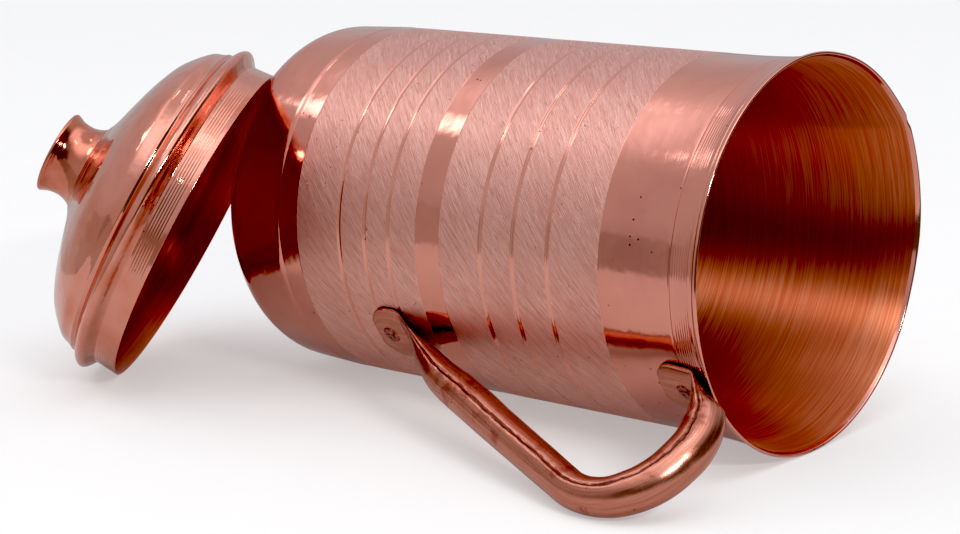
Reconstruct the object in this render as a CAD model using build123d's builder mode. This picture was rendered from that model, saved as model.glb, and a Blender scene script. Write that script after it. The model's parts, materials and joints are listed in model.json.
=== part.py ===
"""A copper water jug lying on its side, with its loose lid leaning against the base.

The jug rests on three points: the lip of its mouth, the foot of its wall and the knuckle of
its handle. Lengths are millimetres. +X runs along the jug towards its mouth and +Z is up.
"""

import os
from math import acos, asin, atan2, cos, radians, sin, sqrt

from build123d import *

os.makedirs("parts", exist_ok=True)

# Jug body: one spun copper shell, measured from the middle of its foot along its own axis
body_radius = 57.0
body_height = 194.4
wall = 1.0
shoulder_reach = 15.2
shoulder_rise = 13.0
shoulder_start = 41.0
crease_height = 30.8
foot_recess_radius = 34.0
foot_recess_depth = 1.2
flare_start = 166.4
knee_height = 183.8
knee_radius = 57.6
lip_radius = 59.8

# Turned lines round the wall: shallow rings pressed into the polished copper
line_heights = (57.0, 67.7, 77.5, 114.4, 126.7, 139.8)
line_radius = 2.7
line_depth = 0.12

# Pouring spout, drawn out of the lip opposite the handle: the lip's outline there as
# (degrees round from the handle, distance from the axis), with the tip in the middle
spout_outline = ((130.0, 59.7), (152.0, 61.4), (179.5, 62.6), (198.0, 61.0), (222.0, 59.7))
spout_root = 56.4
spout_depth = 30.0

# Handle: a rolled tube, hammered flat at both ends into riveted tabs
tube_radius = 5.8
tube_wall = 0.9
flat_half_width = 8.7
flat_half_thickness = 0.95
half_way_width = 7.4
half_way_thickness = 3.4
sheet = 1.5
tab_gap = 0.05
lower_fold = (58.2, 78.5)
lower_round = (71.1, 101.2)
knuckle = (109.9, 190.8)
crown = (76.8, 199.7)
upper_round = (70.4, 197.4)
upper_fold = (59.4, 189.4)
knuckle_radius = 21.2
crown_radius = 21.3
lower_tab_end = 65.0
upper_tab_end = 174.8
lower_tab_width = 20.0
upper_tab_width = 17.6

# Rivets
lower_rivet_height = 71.5
upper_rivet_height = 184.0
shank_radius = 2.0
head_radius = 3.2
head_height = 1.3
tail_radius = 3.4
tail_height = 0.8
flare_lift = 0.12

# Lid: a spun dome with a rolled bead and a skirt that drops into the mouth
lid_sheet = 0.9
skirt_radius = 56.1
skirt_top = (55.4, 7.7)
bead_peak = (59.2, 11.8)
bead_foot = (55.2, 15.4)
dome_points = ((52.9, 21.8), (46.6, 27.6), (34.2, 33.4), (22.2, 37.3))
dome_top = (16.2, 40.1)

# Knob: a hollow spool closed by a dished top, held by one long rivet
knob_sheet = 0.9
knob_foot_radius = 15.0
knob_neck = (12.6, 46.0)
knob_rim = (14.1, 52.2)
knob_top = (12.9, 53.0)
knob_dish = 51.6
knob_rivet_head = 3.6

# How the lid leans: its middle, and the way its knob points
lid_middle = (-16.7, -47.8)
lid_turn = 212.4
lid_rise = 27.75

# The floor point under the middle of the set, seen from the middle of the jug's foot
set_middle = (68.27, -22.3)


def section_plane(frame):
    """The plane through a frame's own axis: x is the distance from it, y runs along it."""
    return Plane(frame.origin, x_dir=frame.x_dir, z_dir=-frame.y_dir)


def lying_jug():
    """The jug's frame once it rests on lip, wall foot and handle knuckle."""
    lean = atan2(lip_radius - body_radius, body_height - crease_height)
    foot_height = body_radius * cos(lean) - crease_height * sin(lean)
    reach, along = knuckle_top()
    roll = acos((foot_height - tube_radius + along * sin(lean)) / (reach * cos(lean)))
    return Plane(
        origin=(-set_middle[0], -set_middle[1], foot_height),
        x_dir=(cos(roll) * sin(lean), -sin(roll), -cos(roll) * cos(lean)),
        z_dir=(cos(lean), 0, sin(lean)),
    )


def knuckle_top():
    """The furthest point of the handle's middle line from the jug's axis."""
    rise = atan2(knuckle[0] - lower_round[0], knuckle[1] - lower_round[1])
    fall = atan2(knuckle[0] - crown[0], crown[1] - knuckle[1])
    cut = knuckle_radius / cos((rise + fall) / 2)
    middle = (fall - rise) / 2
    return (
        knuckle[0] - cut * cos(middle) + knuckle_radius,
        knuckle[1] - cut * sin(middle),
    )


def leaning_lid():
    """The lid's frame: the middle of its open edge, with its axis towards the knob."""
    turn = radians(lid_turn)
    rise = radians(lid_rise)
    return Plane(
        origin=(
            lid_middle[0] - set_middle[0],
            lid_middle[1] - set_middle[1],
            skirt_radius * cos(rise),
        ),
        x_dir=(-sin(turn), cos(turn), 0),
        z_dir=(cos(rise) * cos(turn), cos(rise) * sin(turn), sin(rise)),
    )


jug = lying_jug()
jug_section = section_plane(jug)
jug_axis = Axis(jug.origin, jug.z_dir)
lid = leaning_lid()
lid_section = section_plane(lid)
lid_axis = Axis(lid.origin, lid.z_dir)


def vessel_form(inset, mode=Mode.ADD):
    """The jug's outer form, moved inwards by inset: a solid of revolution."""
    side = body_radius - inset
    with BuildSketch(jug_section) as half_section:
        with BuildLine():
            Line((0, foot_recess_depth + inset), (foot_recess_radius - 4, foot_recess_depth + inset))
            Line((foot_recess_radius - 4, foot_recess_depth + inset), (foot_recess_radius, inset))
            Line((foot_recess_radius, inset), (shoulder_start, inset))
            shoulder = EllipticalCenterArc(
                (shoulder_start, shoulder_rise),
                shoulder_reach - inset,
                shoulder_rise - inset,
                start_angle=-90,
                arc_size=87.6,
            )
            TangentArc(shoulder @ 1, (side, crease_height), tangent=shoulder % 1)
            straight = Line((side, crease_height), (side, flare_start))
            knee = TangentArc((side, flare_start), (knee_radius - inset, knee_height), tangent=straight % 1)
            flare = TangentArc(knee @ 1, (lip_radius - inset, body_height), tangent=knee % 1)
            Line(flare @ 1, (0, body_height))
            Line((0, body_height), (0, foot_recess_depth + inset))
        make_face()
    revolve(half_section.sketch, axis=jug_axis, mode=mode)


def spout_section(height, share, inset):
    """The spout's section at a height, with that share of its full reach."""
    points = []
    for angle, distance in spout_outline:
        reach = spout_root + (distance - spout_root) * share - inset
        points.append((reach * cos(radians(angle)), reach * sin(radians(angle))))
    first, rise, tip, fall, last = points
    with BuildSketch(jug.offset(height)) as section:
        with BuildLine():
            ThreePointArc(first, rise, tip)
            ThreePointArc(tip, fall, last)
            Polyline(last, (-lip_radius / 2, 0), first)
        make_face()
    return section.sketch.face()


def spout_form(inset, mode=Mode.ADD):
    """What the spout adds to the vessel's form: its outline at the lip, tapering to nothing below."""
    wall_section = spout_section(body_height - spout_depth, 0, inset)
    lip_section = spout_section(body_height, 1, inset)
    loft([wall_section, lip_section], mode=mode)


def rivet_seat(height, slope):
    """The frame on the outside of a tab where a rivet's head sits, looking outwards."""
    tab_face = body_radius + tab_gap + sheet
    if height > flare_start:
        tab_face = tab_face + knee_radius - body_radius + flare_lift
    return Plane(
        origin=jug_section.from_local_coords((tab_face, height)),
        x_dir=jug_section.from_local_coords((sin(slope), cos(slope))) - jug.origin,
        z_dir=jug_section.from_local_coords((cos(slope), -sin(slope))) - jug.origin,
    )


flare_slope = 2 * asin((knee_radius - body_radius) / (knee_height - flare_start))
lower_seat = rivet_seat(lower_rivet_height, 0)
upper_seat = rivet_seat(upper_rivet_height, flare_slope)

with BuildPart() as jug_body:
    vessel_form(0)
    spout_form(0)
    vessel_form(wall, Mode.SUBTRACT)
    spout_form(wall, Mode.SUBTRACT)
    with BuildSketch(jug_section):
        with Locations(*[(body_radius + line_radius - line_depth, height) for height in line_heights]):
            Circle(line_radius)
    revolve(axis=jug_axis, mode=Mode.SUBTRACT)
    for seat in (lower_seat, upper_seat):
        with BuildSketch(seat):
            Circle(shank_radius)
        extrude(amount=-(sheet + wall) * 2, mode=Mode.SUBTRACT)
jug_body.part.label = "jug_body"
export_step(jug_body.part, "parts/jug_body.step")


def tab(end, fold, width, seat):
    """A tab of the handle: sheet that follows the wall, round at its end, with a rivet hole."""
    with BuildPart() as plate:
        vessel_form(-tab_gap - sheet)
        vessel_form(-tab_gap, Mode.SUBTRACT)
        outward = Plane(jug.origin, x_dir=jug.z_dir, z_dir=jug.x_dir)
        rounding = width * 0.55
        with BuildSketch(outward):
            with BuildLine():
                EllipticalCenterArc(
                    (end + rounding, 0),
                    rounding,
                    width / 2,
                    start_angle=90,
                    arc_size=180,
                )
                Polyline(
                    (end + rounding, width / 2),
                    (fold, width / 2),
                    (fold, -width / 2),
                    (end + rounding, -width / 2),
                )
            make_face()
        extrude(amount=lip_radius * 2, mode=Mode.INTERSECT)
        with BuildSketch(seat):
            Circle(shank_radius)
        extrude(amount=sheet * 2, both=True, mode=Mode.SUBTRACT)
    return plate.part


def taper(fold, joint, thickness, mode):
    """The stretch of handle that changes from flattened sheet at the fold to round tube."""
    start = jug_section.from_local_coords(fold)
    along = (joint.origin - start).normalized()
    sections = (
        (start, along, flat_half_width, flat_half_thickness),
        ((start + joint.origin) / 2, along, half_way_width, half_way_thickness),
        (joint.origin, joint.z_dir, tube_radius, tube_radius),
    )
    outlines = []
    for middle, direction, half_width, half_thickness in sections:
        if half_thickness > thickness * 1.2:
            with BuildSketch(Plane(origin=middle, x_dir=jug.y_dir, z_dir=direction)) as outline:
                Ellipse(half_width - thickness, half_thickness - thickness)
            outlines.append(outline.sketch.face())
    loft(outlines, mode=mode)


lower_tab = tab(lower_tab_end, lower_fold[1] + 1.5, lower_tab_width, lower_seat)
upper_tab = tab(upper_tab_end, upper_fold[1] + 1.0, upper_tab_width, upper_seat)

with BuildLine(jug_section) as bow:
    FilletPolyline(
        lower_round,
        knuckle,
        crown,
        upper_round,
        radius=[knuckle_radius, crown_radius],
    )
lower_joint = Plane(origin=bow.line @ 0, x_dir=jug.y_dir, z_dir=bow.line % 0)
upper_joint = Plane(origin=bow.line @ 1, x_dir=jug.y_dir, z_dir=-(bow.line % 1))


def tube(thickness, mode=Mode.ADD):
    """The round stretch of handle along the bow, with its surface moved inwards by thickness."""
    with BuildSketch(lower_joint) as outline:
        Circle(tube_radius - thickness)
    sweep(outline.sketch, path=bow.line, mode=mode)


with BuildPart() as handle:
    tube(0)
    taper(lower_fold, lower_joint, 0, Mode.ADD)
    taper(upper_fold, upper_joint, 0, Mode.ADD)
    tube(tube_wall, Mode.SUBTRACT)
    taper(lower_fold, lower_joint, tube_wall, Mode.SUBTRACT)
    taper(upper_fold, upper_joint, tube_wall, Mode.SUBTRACT)
    add(lower_tab)
    add(upper_tab)
handle.part.label = "handle"
export_step(handle.part, "parts/handle.step")


def rivet(seat, head, head_rise, grip, tail, tail_rise):
    """A rivet seen along its own axis: domed head, shank of length grip, hammered tail."""
    with BuildSketch(section_plane(seat)) as half_section:
        with BuildLine():
            Polyline(
                (0, -grip - tail_rise),
                (tail * 0.75, -grip - tail_rise),
                (tail, -grip),
                (shank_radius, -grip),
                (shank_radius, 0),
                (head, 0),
            )
            TangentArc((0, head_rise), (head, 0), tangent=(1, 0))
            Line((0, head_rise), (0, -grip - tail_rise))
        make_face()
    revolve(half_section.sketch, axis=Axis(seat.origin, seat.z_dir))


rivet_lift = 0.02
lower_grip = sheet + tab_gap + wall + 0.12
upper_grip = lower_grip + flare_lift + 0.06

with BuildPart() as lower_rivet:
    rivet(lower_seat.offset(rivet_lift), head_radius, head_height, lower_grip, tail_radius, tail_height)
lower_rivet.part.label = "lower_rivet"
export_step(lower_rivet.part, "parts/lower_rivet.step")

with BuildPart() as upper_rivet:
    rivet(upper_seat.offset(rivet_lift), head_radius, head_height, upper_grip, tail_radius, tail_height)
upper_rivet.part.label = "upper_rivet"
export_step(upper_rivet.part, "parts/upper_rivet.step")


def lid_form(inset, mode=Mode.ADD):
    """The lid's outer form, moved inwards by inset: a solid of revolution."""
    inner_dome = []
    for radius, height in dome_points:
        outward = (radius / bead_foot[0]) ** 2
        inner_dome.append((radius - inset * outward, height - inset * sqrt(1 - outward**2)))
    skirt_end = (skirt_top[0] - inset, skirt_top[1])
    bead_end = (bead_foot[0] - inset, bead_foot[1])
    top = (dome_top[0], dome_top[1] - inset)
    with BuildSketch(lid_section) as half_section:
        with BuildLine():
            Line((skirt_radius - inset, 0), skirt_end)
            ThreePointArc(skirt_end, (bead_peak[0] - inset, bead_peak[1]), bead_end)
            Spline(bead_end, *inner_dome, top)
            Polyline(top, (0, top[1]), (0, 0), (skirt_radius - inset, 0))
        make_face()
    revolve(half_section.sketch, axis=lid_axis, mode=mode)


with BuildPart() as lid_shell:
    lid_form(0)
    lid_form(lid_sheet, Mode.SUBTRACT)
    with BuildSketch(lid.offset(dome_top[1])):
        Circle(shank_radius)
    extrude(amount=-lid_sheet * 2, mode=Mode.SUBTRACT)
lid_shell.part.label = "lid_shell"
export_step(lid_shell.part, "parts/lid_shell.step")

with BuildPart() as lid_knob:
    with BuildSketch(lid_section):
        with BuildLine():
            Line((knob_foot_radius, dome_top[1]), (knob_foot_radius, dome_top[1] + knob_sheet))
            Spline((knob_foot_radius, dome_top[1] + knob_sheet), knob_neck, knob_rim)
            ThreePointArc(knob_rim, (knob_rim[0] - 0.3, knob_top[1] - 0.1), knob_top)
            ThreePointArc(knob_top, (knob_top[0] * 0.7, knob_dish + 0.4), (knob_rivet_head, knob_dish))
            Line((knob_rivet_head, knob_dish), (shank_radius, knob_dish))
            Line((shank_radius, knob_dish), (shank_radius, knob_dish - knob_sheet))
            Line((shank_radius, knob_dish - knob_sheet), (knob_neck[0] - knob_sheet, knob_dish - knob_sheet))
            Line(
                (knob_neck[0] - knob_sheet, knob_dish - knob_sheet),
                (knob_neck[0] - knob_sheet, dome_top[1]),
            )
            Line((knob_neck[0] - knob_sheet, dome_top[1]), (knob_foot_radius, dome_top[1]))
        make_face()
    revolve(axis=lid_axis)
lid_knob.part.label = "lid_knob"
export_step(lid_knob.part, "parts/lid_knob.step")

with BuildPart() as knob_rivet:
    rivet(
        lid.offset(knob_dish + rivet_lift),
        knob_rivet_head,
        head_height,
        knob_dish - dome_top[1] + lid_sheet + rivet_lift,
        knob_rivet_head,
        tail_height,
    )
knob_rivet.part.label = "knob_rivet"
export_step(knob_rivet.part, "parts/knob_rivet.step")
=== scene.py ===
"""The looks of the copper water jug: finely turned meshes, copper materials, floor, light and camera."""

import json
from math import acos, atan2, cos, pi, radians, sin, tan

import bpy
import numpy as np
from mathutils import Matrix, Vector


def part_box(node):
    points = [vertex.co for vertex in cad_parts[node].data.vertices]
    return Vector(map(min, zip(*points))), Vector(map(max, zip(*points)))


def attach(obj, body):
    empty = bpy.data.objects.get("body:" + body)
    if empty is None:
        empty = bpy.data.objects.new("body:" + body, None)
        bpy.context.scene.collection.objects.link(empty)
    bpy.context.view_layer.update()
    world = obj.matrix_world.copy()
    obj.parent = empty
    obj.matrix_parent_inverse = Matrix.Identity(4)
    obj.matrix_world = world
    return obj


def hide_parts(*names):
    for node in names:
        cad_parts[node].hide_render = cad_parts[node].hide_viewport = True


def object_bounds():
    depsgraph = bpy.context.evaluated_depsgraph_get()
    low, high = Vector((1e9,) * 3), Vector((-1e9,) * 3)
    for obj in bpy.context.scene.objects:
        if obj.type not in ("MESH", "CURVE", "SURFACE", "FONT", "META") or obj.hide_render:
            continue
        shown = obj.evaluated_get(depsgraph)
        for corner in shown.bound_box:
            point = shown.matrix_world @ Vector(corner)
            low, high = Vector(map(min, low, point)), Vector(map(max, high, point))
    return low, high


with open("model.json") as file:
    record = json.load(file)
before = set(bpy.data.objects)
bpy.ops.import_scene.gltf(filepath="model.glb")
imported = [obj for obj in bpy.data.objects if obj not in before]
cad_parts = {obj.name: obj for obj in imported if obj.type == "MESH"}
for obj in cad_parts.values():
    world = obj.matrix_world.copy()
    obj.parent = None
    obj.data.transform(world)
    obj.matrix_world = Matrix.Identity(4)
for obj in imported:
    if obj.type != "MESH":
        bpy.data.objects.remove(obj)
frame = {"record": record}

cad_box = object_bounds()
MM = 0.001

# Jug body, in millimetres from the middle of its foot
BODY_RADIUS = 57.0
BODY_HEIGHT = 194.4
WALL = 1.0
SHOULDER_START = 41.0
SHOULDER_REACH = 15.2
SHOULDER_RISE = 13.0
SHOULDER_TURN = 87.6
SHOULDER_STEPS = 18
CREASE_HEIGHT = 30.8
FOOT_RECESS_RADIUS = 34.0
FOOT_RECESS_DEPTH = 1.2
FOOT_OUTSIDE = (
    (0.5, FOOT_RECESS_DEPTH), (FOOT_RECESS_RADIUS * 0.5, FOOT_RECESS_DEPTH),
    (FOOT_RECESS_RADIUS - 4, FOOT_RECESS_DEPTH), (FOOT_RECESS_RADIUS - 3.5, FOOT_RECESS_DEPTH - 0.03),
    (FOOT_RECESS_RADIUS - 0.5, 0.05), (FOOT_RECESS_RADIUS, 0), (FOOT_RECESS_RADIUS + 3, 0),
)
FOOT_INSIDE = (
    (FOOT_RECESS_RADIUS + 1, WALL), (FOOT_RECESS_RADIUS, WALL),
    (FOOT_RECESS_RADIUS - 4, WALL + FOOT_RECESS_DEPTH),
    (FOOT_RECESS_RADIUS * 0.5, WALL + FOOT_RECESS_DEPTH), (0.5, WALL + FOOT_RECESS_DEPTH),
)
INSIDE_SPACING = 5.0
FLARE_START = 166.4
KNEE = (57.6, 183.8)
BEND_STEPS = 16
LIP_RADIUS = 59.79
LIP_STEPS = 6
LIP_INSIDE_DROP = 0.8

# Pouring spout: angles and widths in degrees round the jug's axis, depths in millimetres, fades as powers
SPOUT_TIP = 179.5
SPOUT_POINT = 1.5
SPOUT_DEPTH = 37.0
SPOUT_FADE = 1.25
POINT_WIDTH = 1.5
POINT_SPREAD = 7.0
POINT_ROUNDING = 1.0
SWELL_DEPTH = 26.0
SWELL_FADE = 2.0
CHIP_DEPTH = 0.7
CHIP_WIDTH = 1.6
CHIP_DROP = 1.5
LIP_SWELL = (
    (110, 0.0), (128, 0.0), (136, 0.45), (144, 1.15), (152, 1.5), (160, 1.65), (170, 1.75),
    (180, 1.55), (190, 1.15), (198, 0.95), (206, 0.65), (214, 0.35), (224, 0.0), (240, 0.0),
)

# Turned lines, ridges and polished bands of the wall
LINE_HEIGHTS = (57.0, 67.7, 77.5, 114.4, 126.7, 139.8)
DOUBLE_LINES = (126.7, 139.8)
LINE_RADIUS = 5.0
LINE_DEPTH = 0.07
LINE_WIDTH = 1.6
RIB_HEIGHT = 0.1
RIB_WIDTH = 0.9
POLISHED_BANDS = ((CREASE_HEIGHT, 38.8), (88.7, 98.2), (158.5, KNEE[1]))
BAND_DEPTH = 0.05
BAND_EDGE = 0.12
RIDGES = (184.3, 191.4)
RIDGE_PITCH = 0.9
RIDGE_DEPTH = 0.07
RIDGE_FADE = 0.5
NECK_GROOVES = ((183.8, 0.16), (192.5, 0.16))
NECK_GROOVE_WIDTH = 1.0
WALL_SPACING = 3.2

# Handle: points of its middle line as (distance from the jug's axis, height)
TAB_DISTANCE = 57.85
LOWER_TAB_END = 65.0
LOWER_FOLD = (58.0, 78.6)
LOWER_ROUND = (71.1, 101.2)
KNUCKLE = (109.9, 190.8)
CROWN = (76.8, 199.7)
UPPER_ROUND = (68.5, 196.7)
UPPER_FOLD = (59.2, 189.6)
UPPER_TAB_END = (57.95, 174.8)
FOLD_RADIUS = 1.8
ROUND_RADIUS = 60.0
BEND_RADIUS = 21.2
TUBE_RADIUS = 5.8
TUBE_SWELL = (
    (-68, 5.95), (-57, 5.75), (-40, 5.6), (-29, 5.5), (-23, 5.4), (-15, 5.35), (-10, 5.4),
    (-4, 5.65), (3, 6.15), (11, 6.4), (21, 6.5), (36, 6.5),
)
TUBE_SIDES = 64
PATH_STEP = 0.8
SHEET = 1.5
LOWER_TAB_WIDTH = 20.0
UPPER_TAB_WIDTH = 17.6
TAB_END_SHARE = 0.42
TAB_END_POWER = 2.6
TAB_END_SHRINK = 0.3
SEAM_ANGLE = -85.0
SEAM_DEPTH = 0.5
SEAM_WIDTH = 0.055
SEAM_START = 3
SEAM_RUN = 6
SEAM_CROWDING = 0.35
SEAM_CROWDING_WIDTH = 0.7
LAP_HEIGHT = 0.22
LAP_WIDTH = 0.5
SEAM_WANDER = 0.12
UNEVENNESS = 0.55
UNEVENNESS_DEPTH = 0.12
SMOOTHING = 31
SEAM_SMOOTHING = 13
BOX_MARGIN = 0.03

# The flattened ends, by distance in millimetres from the fold beside a tab: the share of the tube's
# thickness, half its width, and the power of its rounded outline
LOWER_THICKNESS = ((0, 2, 7, 16, 26, 36), (0, 0.03, 0.26, 0.68, 0.87, 1))
UPPER_THICKNESS = ((0, 1.5, 4, 8, 13), (0, 0.05, 0.38, 0.79, 1))
LOWER_WIDTHS = ((-4, 0, 6, 16, 30), (10, 9.3, 8.3, 6.4, TUBE_RADIUS))
UPPER_WIDTHS = ((-4, 0.3, 1.6, 4, 9, 15), (8.8, 8.8, 8.3, 7.4, 6.3, TUBE_RADIUS))
OUTLINE_POWERS = ((-3, 0.5, 5, 14, 24), (7.0, 3.0, 1.45, 1.7, 2.0))

# Rivets
SHANK_RADIUS = 2.0
HEAD_RADIUS = 3.2
HEAD_RISE = 1.45
TAIL_RADIUS = 3.4
TAIL_RISE = 0.75
KNOB_HEAD_RADIUS = 3.6
HEAD_STEPS = 12
HEAD_FULLNESS = 0.8
HEAD_EDGE = -0.02
RIVET_TURNS = 48
BLOW_COUNT = 9
BLOW_REACH = 0.8
BLOW_DEPTH = 0.16
BLOW_SPREAD = 1.1
UPPER_RIVET_SLOPE = 3.95

# Lid, in millimetres from the middle of its open edge
LID_SHEET = 0.9
SKIRT_RADIUS = 56.1
SKIRT_TOP = (55.4, 7.7)
SKIRT_STEPS = 44
SKIRT_RIDGES = (0.9, 7.2)
SKIRT_RIDGE_PITCH = 0.9
SKIRT_RIDGE_DEPTH = 0.09
BEAD_FOOT = (55.2, 15.4)
LEDGE_TOP = (54.6, 18.2)
DOME_END = (34.4, 33.3)
CROWN_END = (19.9, 38.35)
DOME_TOP = (16.2, 40.1)
BEAD_POINTS = (SKIRT_TOP, (56.6, 9.0), (58.6, 10.5), (59.2, 11.8), (58.4, 13.2), (56.4, 14.5), BEAD_FOOT)
LEDGE_POINTS = (BEAD_FOOT, (55.35, 15.9), (55.5, 16.5), (55.0, 17.3), LEDGE_TOP)
DOME_POINTS = (LEDGE_TOP, (52.9, 21.8), (46.6, 27.6), (40.2, 31.0), (35.2, 33.05), DOME_END)
CROWN_POINTS = (DOME_END, (28.2, 35.5), (22.2, 37.5), CROWN_END)
GROOVE_POINTS = (CROWN_END, (19.6, 38.3), (19.3, 38.6), (18.0, 39.1), DOME_TOP)
DOME_INSET = (0.45, 0.75)
CROWN_INSET = (0.25, 0.87)
LID_CENTRE_TOP = 40.1
LID_CENTRE_UNDER = 39.2
BEAD_DENT_ANGLE = 28
BEAD_DENT_HEIGHT = 12.5
BEAD_DENT_RISE = 7
BEAD_DENT_WIDTH = 0.05
BEAD_DENT_DEPTH = 0.008
KNOB_FOOT = 15.0
KNOB_NECK = (12.6, 46.0)
KNOB_TOP = 53.0
KNOB_DISH = 51.6
KNOB_SHEET = 0.9

TURNS = 288
KNOB_TURNS = 144


# ---------------------------------------------------------------- frames of the jug and the lid

mounts = {mount["name"]: mount for mount in frame["record"]["mounts"]}


def box_middle(node):
    """The middle of a CAD node's box, in metres."""
    low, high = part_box(node)
    return (Vector(low) + Vector(high)) / 2


def frame_along(origin, axis, towards):
    """A 4x4 frame in metres: z along axis, x square to it on the side of a point."""
    z = Vector(axis).normalized()
    reach = Vector(towards) - Vector(origin)
    x = (reach - z * reach.dot(z)).normalized()
    y = z.cross(x)
    turned = Matrix((x, y, z)).transposed().to_4x4()
    return Matrix.Translation(origin) @ turned


jug_axis = Vector(mounts["mouth"]["axis"])
jug_foot = Vector(mounts["mouth"]["pos_m"]) - jug_axis * BODY_HEIGHT * MM
handle_side = (box_middle("lower_rivet") + box_middle("upper_rivet")) / 2
JUG = frame_along(jug_foot, jug_axis, handle_side)

lid_axis = -Vector(mounts["lid_skirt"]["axis"])
lid_middle = Vector(mounts["lid_skirt"]["pos_m"])
LID = frame_along(lid_middle, lid_axis, lid_middle + Vector((0, 0, 1)))


# ---------------------------------------------------------------- profiles

def tangent_arc(start, direction, end, steps):
    """Points of the arc that leaves start along direction and reaches end, and its last direction."""
    start = np.array(start)
    end = np.array(end)
    direction = np.array(direction) / np.hypot(*direction)
    normal = np.array((-direction[1], direction[0]))
    chord = end - start
    swing = 2 * atan2(chord @ normal, chord @ direction)
    if abs(swing) < 1e-6:
        return [tuple(start + chord * k / steps) for k in range(1, steps + 1)], direction
    radius = np.hypot(*chord) / (2 * sin(swing / 2))
    centre = start + normal * radius
    points = []
    for k in range(1, steps + 1):
        turn = swing * k / steps
        points.append(tuple(centre + radius * (sin(turn) * direction - cos(turn) * normal)))
    return points, cos(swing) * direction + sin(swing) * normal


def smooth_through(points, steps):
    """A Catmull-Rom line through the points, steps to a span."""
    points = [np.array(p, float) for p in points]
    padded = [2 * points[0] - points[1], *points, 2 * points[-1] - points[-2]]
    line = [tuple(points[0])]
    for a, b, c, d in zip(padded, padded[1:], padded[2:], padded[3:]):
        for k in range(1, steps + 1):
            t = k / steps
            square = 2 * a - 5 * b + 4 * c - d
            cube = 3 * b - a - 3 * c + d
            line.append(tuple(0.5 * (2 * b + (c - a) * t + square * t**2 + cube * t**3)))
    return line


def bump_shape(distance, width):
    """1 at distance 0, falling smoothly to 0 at half of width."""
    return np.where(np.abs(distance) < width / 2, 0.5 + 0.5 * np.cos(2 * pi * distance / width), 0.0)


def smooth_step(low, high, value):
    """0 below low, 1 above high, smooth between."""
    t = np.clip((value - low) / (high - low), 0, 1)
    return t * t * (3 - 2 * t)


def shoulder_line(inset):
    """The rounded base shoulder, from the foot ring to the crease, moved inwards by inset."""
    line = []
    end_turn = radians(SHOULDER_TURN)
    reach = SHOULDER_REACH - inset
    rise = SHOULDER_RISE - inset
    for k in range(SHOULDER_STEPS + 1):
        turn = end_turn * k / SHOULDER_STEPS
        line.append((SHOULDER_START + reach * sin(turn), SHOULDER_RISE - rise * cos(turn)))
    heading = (reach * cos(end_turn), rise * sin(end_turn))
    arc, _ = tangent_arc(line[-1], heading, (BODY_RADIUS - inset, CREASE_HEIGHT), 8)
    return line + arc


def wall_line(inset):
    """The plain wall from the crease to the lip, moved inwards by inset."""
    side = BODY_RADIUS - inset
    knee, heading = tangent_arc((side, FLARE_START), (0, 1), (KNEE[0] - inset, KNEE[1]), BEND_STEPS)
    flare, _ = tangent_arc(knee[-1], heading, (LIP_RADIUS - inset, BODY_HEIGHT), BEND_STEPS)
    return [(side, CREASE_HEIGHT), (side, FLARE_START), *knee, *flare]


def turned_ridges(height, low, high, pitch, depth):
    """How deep fine turned ridges between two heights are pressed into the copper, in mm."""
    start = smooth_step(low, low + RIDGE_FADE, height)
    stop = smooth_step(high - RIDGE_FADE, high, height)
    return depth * (start * (1 - stop)) * (0.5 + 0.5 * np.cos(2 * pi * (height - low) / pitch))


def wall_detail(height):
    """How far the turned lines, ridges and bands move the plain wall out, in mm; below 0 is inwards."""
    out = np.zeros_like(height)
    for low, high in POLISHED_BANDS:
        start = smooth_step(low - BAND_EDGE, low + BAND_EDGE, height)
        stop = smooth_step(high - BAND_EDGE, high + BAND_EDGE, height)
        out -= BAND_DEPTH * (start * (1 - stop))
    for line in LINE_HEIGHTS:
        away = np.abs(height - line)
        out -= np.clip(LINE_DEPTH - away**2 / (2 * LINE_RADIUS), 0, None)
        if line in DOUBLE_LINES:
            out += RIB_HEIGHT * bump_shape(height - line, RIB_WIDTH)
    out -= turned_ridges(height, *RIDGES, RIDGE_PITCH, RIDGE_DEPTH)
    for middle, depth in NECK_GROOVES:
        out -= depth * bump_shape(height - middle, NECK_GROOVE_WIDTH)
    return out


def wall_heights():
    """Heights at which the outer wall has a ring of vertices: close together where there is detail."""
    heights = set(np.round(np.arange(CREASE_HEIGHT + 1, BODY_HEIGHT - 1, WALL_SPACING), 3))
    for line in LINE_HEIGHTS:
        heights.update(np.round(line + np.linspace(-1.1, 1.1, 13), 3))
    for band in POLISHED_BANDS:
        for edge in band:
            heights.update(np.round(edge + np.array((-0.3, -BAND_EDGE, 0, BAND_EDGE, 0.3)), 3))
    heights.update(np.round(np.arange(RIDGES[0], RIDGES[1], RIDGE_PITCH / 6), 3))
    for middle, _ in NECK_GROOVES:
        heights.update(np.round(middle + np.linspace(-0.6, 0.6, 7), 3))
    return [h for h in sorted(heights) if CREASE_HEIGHT < h < BODY_HEIGHT - 0.6]


# ---------------------------------------------------------------- mesh building

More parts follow.
